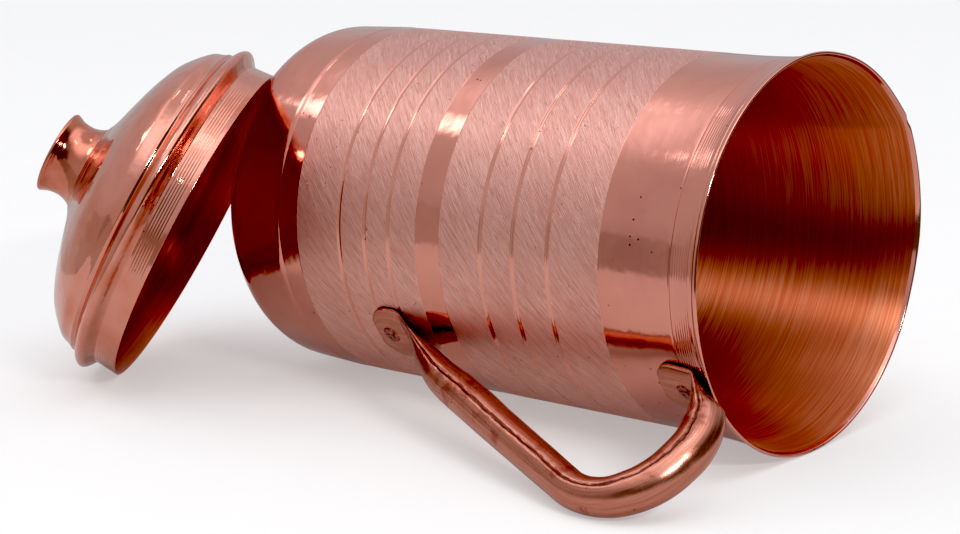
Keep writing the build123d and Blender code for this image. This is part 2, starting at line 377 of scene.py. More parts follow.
def build_piece(name, place, rings, local, closed, materials, ring_slots):
    """One piece from rings of points in its own millimetres: place is the 4x4 frame that it stands in.

    closed joins the last ring to the first; otherwise both ends are shut with a fan.
    local is kept on the mesh as an attribute, for the materials to read.
    """
    count, around, _ = rings.shape
    points = rings.reshape(-1, 3)
    notes = local.reshape(-1, 3)
    faces = []
    slots = []
    last = count if closed else count - 1
    for i in range(last):
        a = i * around
        b = ((i + 1) % count) * around
        for j in range(around):
            k = (j + 1) % around
            faces.append((a + j, a + k, b + k, b + j))
        slots += [ring_slots[i]] * around
    if not closed:
        for ring, flip in ((0, True), (count - 1, False)):
            middle = len(points)
            points = np.vstack((points, rings[ring].mean(axis=0)))
            notes = np.vstack((notes, local[ring].mean(axis=0)))
            for j in range(around):
                pair = (ring * around + j, ring * around + (j + 1) % around)
                faces.append((*(pair[::-1] if flip else pair), middle))
            slots += [ring_slots[ring]] * around
    mesh = bpy.data.meshes.new(name)
    turn = np.array(place.to_3x3())
    world = points * MM @ turn.T + np.array(place.translation)
    mesh.from_pydata(world.tolist(), [], faces)
    note = mesh.attributes.new("local", "FLOAT_VECTOR", "POINT")
    note.data.foreach_set("vector", notes.astype(np.float32).ravel())
    for material in materials:
        mesh.materials.append(material)
    mesh.polygons.foreach_set("material_index", slots)
    mesh.polygons.foreach_set("use_smooth", [True] * len(mesh.polygons))
    mesh.validate()
    mesh.update()
    piece = bpy.data.objects.new(name, mesh)
    bpy.context.scene.collection.objects.link(piece)
    return piece


def revolve(profile, turns, first_turn=0.0):
    """Rings of points for a profile of (radius, height) turned about the z axis."""
    angle = first_turn + np.arange(turns) * 2 * pi / turns
    profile = np.array(profile)
    radius = profile[:, :1]
    height = np.repeat(profile[:, 1:], turns, axis=1)
    return np.stack((radius * np.cos(angle), radius * np.sin(angle), height), axis=2)


def add_to_frame(piece, body, slot, *nodes):
    """Hangs the piece on its body's empty and hides the CAD parts that it stands for; slot is not used."""
    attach(piece, body)
    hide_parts(*nodes)


# ---------------------------------------------------------------- materials

class Shader:
    """A material's nodes, written as short calls."""

    def __init__(self, name):
        self.material = bpy.data.materials.new(name)
        self.material.use_nodes = True
        self.tree = self.material.node_tree
        self.surface = self.tree.nodes["Principled BSDF"]

    def node(self, kind, inputs, **settings):
        """A new node with some settings, and its inputs given by name or number as values or links."""
        made = self.tree.nodes.new(kind)
        for key, value in settings.items():
            setattr(made, key, value)
        for key, value in inputs.items():
            if isinstance(value, bpy.types.NodeSocket):
                self.tree.links.new(value, made.inputs[key])
            else:
                made.inputs[key].default_value = value
        return made

    def math(self, operation, *values):
        """A math node's result."""
        return self.node("ShaderNodeMath", dict(enumerate(values)), operation=operation).outputs[0]

    def vector(self, x, y, z):
        """Three numbers joined to a vector."""
        return self.node("ShaderNodeCombineXYZ", {0: x, 1: y, 2: z}).outputs[0]

    def scaled(self, vector, factors):
        """A vector times one factor for each axis."""
        return self.node("ShaderNodeVectorMath", {0: vector, 1: factors}, operation="MULTIPLY").outputs[0]

    def noise(self, vector, scale, detail=2.0, rough=0.5, w=None):
        """A noise value from 0 to 1, of three numbers or, with w, of four."""
        inputs = {"Vector": vector, "Scale": scale, "Detail": detail, "Roughness": rough}
        if w is None:
            return self.node("ShaderNodeTexNoise", inputs).outputs[0]
        inputs["W"] = w
        return self.node("ShaderNodeTexNoise", inputs, noise_dimensions="4D").outputs[0]

    def remap(self, value, low, high, to_low=0.0, to_high=1.0):
        """value taken from the range low to high into another range, smoothly and clamped."""
        inputs = {"Value": value, "From Min": low, "From Max": high, "To Min": to_low, "To Max": to_high}
        return self.node("ShaderNodeMapRange", inputs, interpolation_type="SMOOTHSTEP").outputs[0]

    def mix(self, factor, first, second):
        """A mix of two colours or links, by factor."""
        made = self.node("ShaderNodeMix", {0: factor}, data_type="RGBA")
        for socket, value in ((made.inputs[6], first), (made.inputs[7], second)):
            if isinstance(value, bpy.types.NodeSocket):
                self.tree.links.new(value, socket)
            else:
                socket.default_value = (*value, 1)
        return made.outputs[2]

    def local(self):
        """The piece's own coordinates in millimetres, from its mesh."""
        return self.node("ShaderNodeAttribute", {}, attribute_name="local").outputs["Vector"]

    def bump(self, height, distance, normal=None):
        """A bumped normal, on top of another if there is one: distance is the height of 1, in metres."""
        inputs = {"Height": height, "Distance": distance, "Strength": 1.0}
        if normal is not None:
            inputs["Normal"] = normal
        return self.node("ShaderNodeBump", inputs).outputs[0]

    def finish(self, colour, roughness, normal):
        """Links the finished values into the copper surface, and gives back its material."""
        self.surface.inputs["Metallic"].default_value = 1.0
        for name, value in (("Base Color", colour), ("Roughness", roughness), ("Normal", normal)):
            self.tree.links.new(value, self.surface.inputs[name])
        return self.material


COPPER = (0.73, 0.325, 0.25)
# Lighter copper for the turned lines: a painted highlight, so that they read bright from every side
LINE_HIGHLIGHT_COPPER = (0.77, 0.36, 0.28)
WARM_COPPER = (0.67, 0.26, 0.18)
DARK_COPPER = (0.34, 0.09, 0.065)
# Near-black, for dark pits and for painted shade in tight corners
SPECK_AND_SHADE = (0.05, 0.012, 0.01)
HATCH_GROUND = (0.76, 0.38, 0.315)
HATCH_STROKE = (0.93, 0.59, 0.51)
HATCH_CROSSING = (0.97, 0.64, 0.56)
HATCH_DARK = (0.36, 0.12, 0.095)
HATCH_CLOUD = (0.68, 0.31, 0.26)
BAND_SHADE = (0.64, 0.26, 0.22)
KNOB_SHADE = (0.52, 0.17, 0.12)
TUBE_LIGHT = (0.60, 0.26, 0.19)
TUBE_DARK = (0.47, 0.185, 0.13)
SEAM_SHADE = (0.10, 0.025, 0.02)
RIVET_LIGHT = (0.50, 0.20, 0.16)
RIVET_DARK = (0.13, 0.035, 0.03)
# Insides, light and dark: a deeper red than the outside copper, darker still on the lid, as painted shade
# for the dim hollows
JUG_INSIDE_PAINTED_SHADE = ((0.84, 0.36, 0.21), (0.72, 0.20, 0.10))
LID_INSIDE_PAINTED_SHADE = ((0.75, 0.25, 0.15), (0.62, 0.17, 0.09))

# Brush strokes on the wall: their direction as (along the jug, round it), and how fine they are across
# themselves and how coarse along themselves, in noise cells to a millimetre
STROKES = (0.77, 0.64, 2.5, 0.07)
CROSSING_STROKES = (0.83, 0.56, 1.7, 0.055)
DARK_STROKES = (0.72, 0.69, 1.5, 0.06)

# Depths of the marks that the materials draw, in metres
STROKE_DEPTH = 0.00002
TURNED_DEPTH = 0.000012
SMUDGE_DEPTH = 0.0003
JUG_BRUSH_DEPTH = 0.00005
LID_BRUSH_DEPTH = 0.00003
LID_TURNED_DEPTH = 0.000008
LID_SMUDGE_DEPTH = 0.0004
DRAWN_DEPTH = 0.00002
TUBE_DENT_DEPTH = 0.00025
HAMMER_DEPTH = 0.0004

# How strongly the brushed insides spread the light across their marks, and which way, in turns
BRUSHED_SPREAD = 0.96
BRUSHED_TURN = 0.25

# Painted shade in corners: the share of open sky at which it starts to thin out and at which it is gone
CORNER_SHADE_RANGE = (0.45, 0.85)
CORNER_SHADE_LEVEL = 0.85


def specks(s, local, level, cell, size, cluster_scale, threshold):
    """level on small dark pits, which gather in loose clusters; 0 elsewhere."""
    spots = s.node(
        "ShaderNodeTexVoronoi",
        {"Vector": local, "Scale": 1 / cell, "Randomness": 1.0},
        feature="F1",
    ).outputs["Distance"]
    wobble = s.noise(local, 1.4, 2.0)
    edge = s.math("MULTIPLY_ADD", wobble, size, size * 0.35)
    pit = s.math("LESS_THAN", spots, edge)
    cluster = s.remap(s.noise(local, cluster_scale, 2.0), threshold, threshold + 0.04)
    return s.math("MULTIPLY", s.math("MULTIPLY", pit, cluster), level)


def helix(s, local, along, turn, fine, coarse):
    """Four noise coordinates for strokes that climb round the wall: fine across them, coarse along them."""
    parts = s.node("ShaderNodeSeparateXYZ", {0: local}).outputs
    angle = s.math("ARCTAN2", parts[1], parts[0])
    wander = s.math("MULTIPLY_ADD", s.noise(local, 0.04, 1.0), 0.8, parts[2])
    across_ring = turn * BODY_RADIUS
    along_ring = along * BODY_RADIUS
    across = s.math("ADD", angle, s.math("MULTIPLY", wander, -along / across_ring))
    length = s.math("ADD", angle, s.math("MULTIPLY", parts[2], turn / along_ring))
    vector = s.vector(
        s.math("MULTIPLY", s.math("COSINE", across), across_ring * fine),
        s.math("MULTIPLY", s.math("SINE", across), across_ring * fine),
        s.math("MULTIPLY", s.math("COSINE", length), along_ring * coarse),
    )
    return vector, s.math("MULTIPLY", s.math("SINE", length), along_ring * coarse)


def thin_lines(s, value, width):
    """1 on thin lines, where a noise value crosses its middle."""
    return s.remap(s.math("ABSOLUTE", s.math("SUBTRACT", value, 0.5)), 0.0, width, 1.0, 0.0)


def painted_corner_shade(s, reach):
    """Painted shade from an ambient occlusion test: up to 0.85 in tight corners, such as the joint round a
    tab or a rivet, and 0 in the open.
    """
    near = s.node("ShaderNodeAmbientOcclusion", {"Distance": reach * MM}, samples=8).outputs["AO"]
    return s.remap(near, *CORNER_SHADE_RANGE, CORNER_SHADE_LEVEL, 0.0)


def hatched_copper():
    """The wall between the polished bands: brushed with short slanting strokes."""
    s = Shader("copper_hatched")
    local = s.local()
    vector, w = helix(s, local, *STROKES)
    scratches = thin_lines(s, s.noise(vector, 1.0, 1.0, 0.6, w=w), 0.06)
    vector, w = helix(s, local, *CROSSING_STROKES)
    crossing = thin_lines(s, s.noise(vector, 1.0, 2.0, 0.5, w=w), 0.035)
    vector, w = helix(s, local, *DARK_STROKES)
    dark_marks = thin_lines(s, s.noise(vector, 1.0, 2.0, 0.5, w=w), 0.03)
    height = s.math("SUBTRACT", s.math("MULTIPLY_ADD", crossing, 0.6, scratches), dark_marks)
    broad = s.noise(local, 0.035, 3.0)
    colour = s.mix(s.math("MULTIPLY", scratches, 0.6), HATCH_GROUND, HATCH_STROKE)
    colour = s.mix(s.math("MULTIPLY", crossing, 0.5), colour, HATCH_CROSSING)
    colour = s.mix(s.math("MULTIPLY", dark_marks, 0.4), colour, HATCH_DARK)
    colour = s.mix(s.remap(broad, 0.35, 0.7, 0.0, 0.3), colour, HATCH_CLOUD)
    dark = specks(s, local, 0.7, 2.6, 0.12, 0.045, 0.57)
    # Dark pits, and painted shade in tight corners such as round the tabs and rivets, in near-black
    colour = s.mix(s.math("MAXIMUM", dark, painted_corner_shade(s, 0.8)), colour, SPECK_AND_SHADE)
    roughness = s.math("MULTIPLY_ADD", s.noise(local, 0.3, 2.0), 0.10, 0.35)
    normal = s.bump(height, STROKE_DEPTH)
    return s.finish(colour, roughness, normal)


def turned_copper(name, light, dark, roughness):
    """The polished bands, shoulder, lip and turned lines: nearly a mirror, with fine turning marks."""
    s = Shader(name)
    local = s.local()
    turned = s.noise(s.scaled(local, (0.012, 0.012, 3.2)), 1.0, 3.0, 0.6)
    smudge = s.noise(local, 0.05, 3.0, 0.6)
    colour = s.mix(s.remap(smudge, 0.35, 0.75, 0.0, 0.6), light, dark)
    colour = s.mix(s.remap(turned, 0.62, 0.72, 0.0, 0.25), colour, dark)
    pits = specks(s, local, 0.9, 3.0, 0.13, 0.05, 0.57)
    # Dark pits, and painted shade in tight corners, in near-black
    colour = s.mix(s.math("MAXIMUM", pits, painted_corner_shade(s, 0.8)), colour, SPECK_AND_SHADE)
    shine = s.math("MULTIPLY_ADD", smudge, 0.08, s.math("MULTIPLY_ADD", turned, 0.08, roughness))
    normal = s.bump(turned, TURNED_DEPTH, s.bump(smudge, SMUDGE_DEPTH))
    return s.finish(colour, shine, normal)


def inner_copper(name, place, light, dark, roughness, mark_depth):
    """The insides, brushed round and round on the lathe, so that their shine runs along place's z axis."""
    s = Shader(name)
    local = s.local()
    rings = s.noise(s.scaled(local, (0.035, 0.035, 1.7)), 1.0, 4.0, 0.65)
    broad = s.noise(local, 0.03, 3.0)
    # light and dark are the insides' deeper reds, painted shade for the hollow
    colour = s.mix(s.remap(rings, 0.35, 0.65), dark, light)
    colour = s.mix(s.remap(broad, 0.4, 0.75, 0.0, 0.5), colour, dark)
    shine = s.math("MULTIPLY_ADD", rings, 0.16, roughness)
    normal = s.bump(rings, mark_depth)
    facing = s.node("ShaderNodeNewGeometry", {}).outputs["Normal"]
    axis = tuple(place.to_3x3().col[2])
    round_axis = s.node("ShaderNodeVectorMath", {0: axis, 1: facing}, operation="CROSS_PRODUCT").outputs[0]
    s.tree.links.new(round_axis, s.surface.inputs["Tangent"])
    s.surface.inputs["Anisotropic"].default_value = BRUSHED_SPREAD
    s.surface.inputs["Anisotropic Rotation"].default_value = BRUSHED_TURN
    return s.finish(colour, shine, normal)


def tube_copper():
    """The handle: polished by hand along its length, with a dark seam, shallow dents and dark patches."""
    s = Shader("copper_tube")
    local = s.local()
    parts = s.node("ShaderNodeSeparateXYZ", {0: local}).outputs
    drawn = s.noise(s.scaled(local, (0.05, 1.6, 1.6)), 1.0, 4.0, 0.65)
    dents = s.noise(local, 0.13, 2.0)
    patch = s.noise(local, 0.10, 5.0, 0.7)
    colour = s.mix(s.remap(drawn, 0.35, 0.65), TUBE_DARK, TUBE_LIGHT)
    stain = s.remap(patch, 0.57, 0.68, 0.0, 0.8)
    colour = s.mix(stain, colour, DARK_COPPER)
    angle = s.math("ARCTAN2", parts[2], parts[1])
    wander = s.math("MULTIPLY_ADD", s.noise(local, 0.22, 3.0), 0.30, -radians(SEAM_ANGLE) - 0.15)
    beside = s.math("ABSOLUTE", s.math("ADD", angle, wander))
    seam = s.remap(beside, 0.04, 0.13, 0.85, 0.0)
    colour = s.mix(seam, colour, SEAM_SHADE)
    pits = specks(s, local, 0.8, 2.4, 0.13, 0.09, 0.55)
    # Painted shade, at 0.6 of its strength, where the tabs meet the wall
    joint = s.math("MULTIPLY", painted_corner_shade(s, 0.6), 0.6)
    colour = s.mix(s.math("MAXIMUM", pits, joint), colour, SPECK_AND_SHADE)
    roughness = s.math("MULTIPLY_ADD", patch, 0.20, s.math("MULTIPLY_ADD", drawn, 0.12, 0.10))
    normal = s.bump(drawn, DRAWN_DEPTH, s.bump(dents, TUBE_DENT_DEPTH))
    return s.finish(colour, roughness, normal)


def rivet_copper():
    """Rivets: darker, hammered, with painted shade round the foot of the head."""
    s = Shader("copper_rivet")
    local = s.local()
    hammer = s.noise(local, 0.9, 3.0, 0.6)
    colour = s.mix(s.remap(hammer, 0.3, 0.7), RIVET_DARK, RIVET_LIGHT)
    # Painted shade round the foot of the head, where it meets the tab
    colour = s.mix(painted_corner_shade(s, 0.8), colour, SPECK_AND_SHADE)
    roughness = s.math("MULTIPLY_ADD", hammer, 0.25, 0.15)
    normal = s.bump(hammer, HAMMER_DEPTH)
    return s.finish(colour, roughness, normal)


def lid_copper(name, light, dark, roughness):
    """The outside of the lid and its knob: mirror polished on the lathe."""
    s = Shader(name)
    local = s.local()
    marks = s.noise(s.scaled(local, (0.02, 0.02, 2.4)), 1.0, 3.0, 0.6)
    smudge = s.noise(local, 0.07, 3.0, 0.55)
    colour = s.mix(s.remap(smudge, 0.35, 0.7), light, dark)
    colour = s.mix(specks(s, local, 0.8, 3.2, 0.09, 0.06, 0.6), colour, SPECK_AND_SHADE)
    shine = s.math("MULTIPLY_ADD", smudge, 0.10, roughness)
    normal = s.bump(marks, LID_TURNED_DEPTH, s.bump(smudge, LID_SMUDGE_DEPTH))
    return s.finish(colour, shine, normal)


HATCHED = hatched_copper()
POLISHED = turned_copper("copper_polished", COPPER, BAND_SHADE, 0.03)
# The turned lines: polished, and lighter in colour as a painted highlight
LINES = turned_copper("copper_lines", LINE_HIGHLIGHT_COPPER, COPPER, 0.06)
# The jug's inside, in deeper reds as painted shade
INSIDE = inner_copper("copper_inside", JUG, *JUG_INSIDE_PAINTED_SHADE, 0.42, JUG_BRUSH_DEPTH)
TUBE = tube_copper()
RIVET = rivet_copper()
LID_POLISHED = lid_copper("copper_lid", COPPER, WARM_COPPER, 0.04)
KNOB_POLISHED = lid_copper("copper_knob", WARM_COPPER, KNOB_SHADE, 0.05)
# The lid's inside, in darker reds as painted shade
LID_INSIDE = inner_copper("copper_lid_inside", LID, *LID_INSIDE_PAINTED_SHADE, 0.36, LID_BRUSH_DEPTH)


# ---------------------------------------------------------------- jug body

JUG_MATERIALS = (HATCHED, POLISHED, INSIDE, LINES)
HATCHED_SLOT, POLISHED_SLOT, INSIDE_SLOT, LINE_SLOT = range(len(JUG_MATERIALS))


def make_jug():
    """The jug's shell as one closed mesh: outer wall with its turned detail, lip, and inside."""
    heights = np.array(wall_heights())
    plain = np.array(wall_line(0))
    outer = np.interp(heights, plain[:, 1], plain[:, 0]) + wall_detail(heights)
    profile = [*FOOT_OUTSIDE, *shoulder_line(0)]
    slots = [POLISHED_SLOT] * len(profile)
    for radius, height in zip(outer, heights):
        profile.append((radius, height))
        if height > POLISHED_BANDS[-1][0] or any(low <= height < high for low, high in POLISHED_BANDS):
            slots.append(POLISHED_SLOT)
        elif any(abs(height - line) < LINE_WIDTH / 2 for line in LINE_HEIGHTS):
            slots.append(LINE_SLOT)
        else:
            slots.append(HATCHED_SLOT)
    half = WALL / 2
    for k in range(LIP_STEPS + 1):
        turn = pi * k / LIP_STEPS
        profile.append((LIP_RADIUS - half + half * cos(turn), BODY_HEIGHT - half + half * sin(turn)))
        slots.append(POLISHED_SLOT)
    flare = [(r, h) for r, h in wall_line(WALL)[::-1] if FLARE_START < h < BODY_HEIGHT - LIP_INSIDE_DROP]
    straight = np.arange(FLARE_START - 4, CREASE_HEIGHT + 2, -INSIDE_SPACING)
    inside = flare + [(BODY_RADIUS - WALL, h) for h in straight]
    inside += [*shoulder_line(WALL)[::-1], *FOOT_INSIDE]
    profile += inside
    slots += [INSIDE_SLOT] * len(inside)
    rings = draw_spout(revolve(profile, TURNS, pi))
    piece = build_piece("jug_shell", JUG, rings, rings, False, JUG_MATERIALS, slots)
    add_to_frame(piece, "jug", "jug_copper", "jug_body")


def draw_spout(rings):
    """Pulls the lip out to the pouring spout: a broad swelling with a creased point in its middle."""
    radius = np.hypot(rings[..., 0], rings[..., 1])
    angle = np.degrees(np.arctan2(rings[..., 1], rings[..., 0])) % 360
    height = rings[..., 2]
    turns, swell = np.array(LIP_SWELL).T
    share = np.clip((height - BODY_HEIGHT + SWELL_DEPTH) / SWELL_DEPTH, 0, 1) ** SWELL_FADE
    pulled = radius + np.interp(angle, turns, swell) * share
    depth = np.clip((height - BODY_HEIGHT + SPOUT_DEPTH) / SPOUT_DEPTH, 0, 1) ** SPOUT_FADE
    away = np.sqrt((angle - SPOUT_TIP) ** 2 + POINT_ROUNDING)
    point = SPOUT_POINT * depth * np.exp(-away / (POINT_WIDTH + POINT_SPREAD * depth))
    on_wall = radius > BODY_RADIUS * 0.9
    pulled = np.where(on_wall, pulled + point, radius)
    chip = CHIP_DEPTH * np.exp(-(((angle - SPOUT_TIP) / CHIP_WIDTH) ** 2))
    height = height - chip * np.clip((height - BODY_HEIGHT + CHIP_DROP) / CHIP_DROP, 0, 1)
    angle = np.radians(angle)
    return np.stack((pulled * np.cos(angle), pulled * np.sin(angle), height), axis=2)


make_jug()


# ---------------------------------------------------------------- handle

def add_run(path, end, step):
    """Adds a straight run of points about step apart to the path, as far as end; gives back its length."""
    start = path[-1]
    run = np.hypot(*(end - start))
    pieces = max(2, int(run / step))
    path += [start + (end - start) * k / pieces for k in range(1, pieces + 1)]
    return run


def rounded_path(points, radii, step):
    """A line of points about step apart, with each corner turned on its radius.

    Also gives back how far along the line its start, each corner's middle and its end are.
    """
    path = [np.array(points[0], float)]
    marks = [0.0]
    travelled = 0.0
    for before, corner, after, radius in zip(points, points[1:], points[2:], radii):
        before, corner, after = (np.array(p, float) for p in (before, corner, after))
        inward = (before - corner) / np.hypot(*(before - corner))
        outward = (after - corner) / np.hypot(*(after - corner))
        turn = pi - acos(np.clip(inward @ outward, -1, 1))
        trim = radius * tan(turn / 2)
        first = corner + inward * trim
        last = corner + outward * trim
        travelled += add_run(path, first, step)
        arc, _ = tangent_arc(first, -inward, last, max(6, int(radius * turn / step * 2)))
        path += [np.array(p) for p in arc]
        marks.append(travelled + radius * turn / 2)
        travelled += radius * turn
    marks.append(travelled + add_run(path, np.array(points[-1], float), step))
    return np.array(path), marks


def slow_noise(rng, count, window, size):
    """Random values times size, averaged over a window, so that they change slowly."""
    return np.convolve(rng.normal(0, 1, count + window - 1), np.ones(window) / window, "valid") * size


def angle_between(angle, middle):
    """How far an angle is from another, from -pi to pi."""
    return (angle - middle + pi) % (2 * pi) - pi


def make_handle():
    """The handle: one tube from tab to tab, flattened and folded at both ends, with its seam."""
    rng = np.random.default_rng(11)
    points = [(TAB_DISTANCE, LOWER_TAB_END), LOWER_FOLD, LOWER_ROUND, KNUCKLE, CROWN]
    points += [UPPER_ROUND, UPPER_FOLD, UPPER_TAB_END]
    radii = [FOLD_RADIUS, ROUND_RADIUS, BEND_RADIUS, BEND_RADIUS, BEND_RADIUS / 2, FOLD_RADIUS]
    path, marks = rounded_path(points, radii, PATH_STEP)
    _, lower_fold, _, knuckle, _, _, upper_fold, _ = marks
    gaps = np.hypot(*np.diff(path, axis=0).T)
    along = np.concatenate(([0], np.cumsum(gaps)))
    places, swells = np.array(TUBE_SWELL).T
    tube = np.interp(along - knuckle, places, swells)
    heading = np.gradient(path, axis=0)
    heading /= np.hypot(*heading.T)[:, None]
    normal = np.stack((heading[:, 1], -heading[:, 0]), axis=1)

    low_in = along - lower_fold
    high_in = upper_fold - along
    from_fold = np.minimum(low_in, high_in)
    at_top = high_in < low_in
    flat = SHEET / 2
    share = np.where(at_top, np.interp(from_fold, *UPPER_THICKNESS), np.interp(from_fold, *LOWER_THICKNESS))
    half_thick = flat + (tube - flat) * share
    half_wide = np.where(at_top, np.interp(from_fold, *UPPER_WIDTHS), np.interp(from_fold, *LOWER_WIDTHS))
    half_wide = half_wide + (tube - TUBE_RADIUS) * share
    for end, width in ((along, LOWER_TAB_WIDTH), (along[-1] - along, UPPER_TAB_WIDTH)):
        near = np.clip(1 - end / (width * TAB_END_SHARE), 0, 1)
        half_wide *= np.clip(1 - near**TAB_END_POWER, 0.0004, 1) ** (1 / TAB_END_POWER)
    power = np.interp(from_fold, *OUTLINE_POWERS)

    turn = np.linspace(0, 2 * pi, TUBE_SIDES, endpoint=False)
    seam = radians(SEAM_ANGLE)
    gap = angle_between(turn, seam)
    turn = turn - SEAM_CROWDING * np.sin(gap) * np.exp(-((gap / SEAM_CROWDING_WIDTH) ** 2))
    c, t = np.cos(turn), np.sin(turn)
    rings = np.zeros((len(path), TUBE_SIDES, 3))
    notes = np.zeros((len(path), TUBE_SIDES, 3))
    wobble = slow_noise(rng, len(path), SMOOTHING, UNEVENNESS)
    seam_wander = slow_noise(rng, len(path), SEAM_SMOOTHING, SEAM_WANDER)
    for i in range(len(path)):
        n = power[i]
        swell = (np.abs(c) ** n + np.abs(t) ** n) ** (-1 / n)
        thick = half_thick[i]
        if from_fold[i] > 4:
            thick = thick + UNEVENNESS_DEPTH * wobble[i]
        out = thick * swell * c
        side = half_wide[i] * swell * t
        if from_fold[i] > SEAM_START:
            gap = angle_between(turn - seam, seam_wander[i])
            fade = min(1.0, (from_fold[i] - SEAM_START) / SEAM_RUN)
            groove = SEAM_DEPTH * fade * np.exp(-((gap / SEAM_WIDTH) ** 2))
            lap = LAP_HEIGHT * fade * np.where(gap > 0, np.exp(-gap / LAP_WIDTH), 0)
            shrink = 1 - (groove - lap) / max(half_wide[i], half_thick[i])
            out = out * shrink
            side = side * shrink
        wrap = smooth_step(-1.0, 1.5, -from_fold[i])
        curved = side**2 / (2 * TAB_DISTANCE) * wrap
        out = out - max(thick - TUBE_RADIUS + BOX_MARGIN, 0)
        distance = path[i, 0] + normal[i, 0] * out - curved
        height = path[i, 1] + normal[i, 1] * out
        rings[i] = np.stack((distance, side, height), axis=1)
        notes[i] = np.stack((np.full(TUBE_SIDES, along[i]), TUBE_RADIUS * c, TUBE_RADIUS * t), axis=1)
    for i in (0, -1):
        rings[i] = rings[i].mean(axis=0) + (rings[i] - rings[i].mean(axis=0)) * TAB_END_SHRINK
    piece = build_piece("handle_tube", JUG, rings, notes, False, (TUBE,), [0] * len(path))
    add_to_frame(piece, "jug", "handle_copper", "handle")


make_handle()


# ---------------------------------------------------------------- rivets

def make_rivet(name, node, body, place, head, tail, grip, seed):
    """A hammered rivet: place is the frame on its seat, with z pointing out of the head.

    head and tail are their radii, and grip is the thickness that the shank goes through.
    """
    rng = np.random.default_rng(seed)
    profile = [(0.05, HEAD_RISE)]
    for k in range(1, HEAD_STEPS + 1):
        turn = pi / 2 * k / HEAD_STEPS
        profile.append((head * sin(turn), HEAD_RISE * cos(turn) ** HEAD_FULLNESS))
    profile += [(head, HEAD_EDGE), (SHANK_RADIUS, -0.05), (SHANK_RADIUS, -grip), (tail, -grip)]
    profile += [(tail * 0.96, -grip - 0.35), (tail * 0.75, -grip - TAIL_RISE), (0.05, -grip - TAIL_RISE)]
    rings = revolve(profile, RIVET_TURNS)
    face = rings[:HEAD_STEPS + 1]
    for x, y in rng.uniform(-head * BLOW_REACH, head * BLOW_REACH, (BLOW_COUNT, 2)):
        near = np.exp(-((face[..., 0] - x) ** 2 + (face[..., 1] - y) ** 2) / BLOW_SPREAD)
        face[..., 2] -= BLOW_DEPTH * near
    face[..., 2] = np.clip(face[..., 2], HEAD_EDGE, None)
    piece = build_piece(name, place, rings, rings, False, (RIVET,), [0] * len(profile))
    add_to_frame(piece, body, "rivet_copper", node)


def rivet_seat(node, head_out):
    """The frame where a handle rivet's head meets the tab, from the middle of its CAD node."""
    middle = JUG.inverted() @ box_middle(node) * (1 / MM)
    slope = radians(UPPER_RIVET_SLOPE) if node == "upper_rivet" else 0
    outward = Vector((cos(slope), 0, -sin(slope)))
    seat = Vector((middle.x, 0, middle.z)) + outward * head_out
    towards = JUG @ ((seat + Vector((0, 0, 5))) * MM)
    return frame_along(JUG @ (seat * MM), JUG.to_3x3() @ outward, towards)


handle_grip = SHEET + WALL + 0.2
seat_out = (handle_grip + TAIL_RISE - HEAD_RISE) / 2
for name, node, seed in (("lower_handle_rivet", "lower_rivet", 3), ("upper_handle_rivet", "upper_rivet", 5)):
    seat = rivet_seat(node, seat_out)
    make_rivet(name, node, "jug", seat, HEAD_RADIUS, TAIL_RADIUS, handle_grip, seed)
knob_seat = LID @ Matrix.Translation((0, 0, (KNOB_DISH + 0.03) * MM))
knob_grip = KNOB_DISH - DOME_TOP[1] + LID_SHEET + 0.05
knob_radii = (KNOB_HEAD_RADIUS, KNOB_HEAD_RADIUS)
make_rivet("knob_centre_rivet", "knob_rivet", "lid", knob_seat, *knob_radii, knob_grip, 7)


# ---------------------------------------------------------------- lid

def make_lid():
    """The lid's shell: skirt with turned ridges, rolled bead, dome, and the same again inside."""
    steps = np.arange(SKIRT_STEPS + 1)
    radius = SKIRT_RADIUS + (SKIRT_TOP[0] - SKIRT_RADIUS) * steps / SKIRT_STEPS
    height = SKIRT_TOP[1] * steps / SKIRT_STEPS
    radius = radius - turned_ridges(height, *SKIRT_RIDGES, SKIRT_RIDGE_PITCH, SKIRT_RIDGE_DEPTH)
    skirt = list(zip(radius, height))
    bead = smooth_through(BEAD_POINTS, 5)
    ledge = smooth_through(LEDGE_POINTS, 3)
    dome = smooth_through(DOME_POINTS, 6)
    crown = smooth_through(CROWN_POINTS, 5)
    groove = smooth_through(GROOVE_POINTS, 3)
    outer = skirt + bead[1:] + ledge[1:] + dome[1:] + crown[1:] + groove[1:]
    outer += [(KNOB_FOOT + 0.1, LID_CENTRE_TOP + 0.25), (KNOB_FOOT - 0.4, LID_CENTRE_TOP)]
    outer += [(SHANK_RADIUS + 0.1, 40.05)]
    inner = [(SHANK_RADIUS + 0.1, LID_CENTRE_UNDER), (KNOB_FOOT, LID_CENTRE_UNDER)]
    inner += [(r - CROWN_INSET[0], h - CROWN_INSET[1]) for r, h in crown[::-1]]
    inner += [(r - DOME_INSET[0], h - DOME_INSET[1]) for r, h in dome[::-1][1:]]
    inner += [(r - LID_SHEET, h) for r, h in ledge[::-1][2::2]]
    inner += [(r - LID_SHEET, h) for r, h in bead[::-1][1:]]
    inner += [(SKIRT_RADIUS - LID_SHEET, 0.4), (SKIRT_RADIUS - LID_SHEET * 0.8, 0.05)]
    rings = revolve(outer + inner, TURNS)
    away = np.arctan2(rings[..., 1], rings[..., 0]) - radians(BEAD_DENT_ANGLE)
    in_bead = bump_shape(rings[..., 2] - BEAD_DENT_HEIGHT, BEAD_DENT_RISE)
    dent = np.exp(-((away / BEAD_DENT_WIDTH) ** 2)) * in_bead
    rings[..., :2] *= (1 - BEAD_DENT_DEPTH * dent)[..., None]
    slots = [0] * len(outer) + [1] * len(inner)
    piece = build_piece("lid_dome", LID, rings, rings, True, (LID_POLISHED, LID_INSIDE), slots)
    add_to_frame(piece, "lid", "lid_copper", "lid_shell")


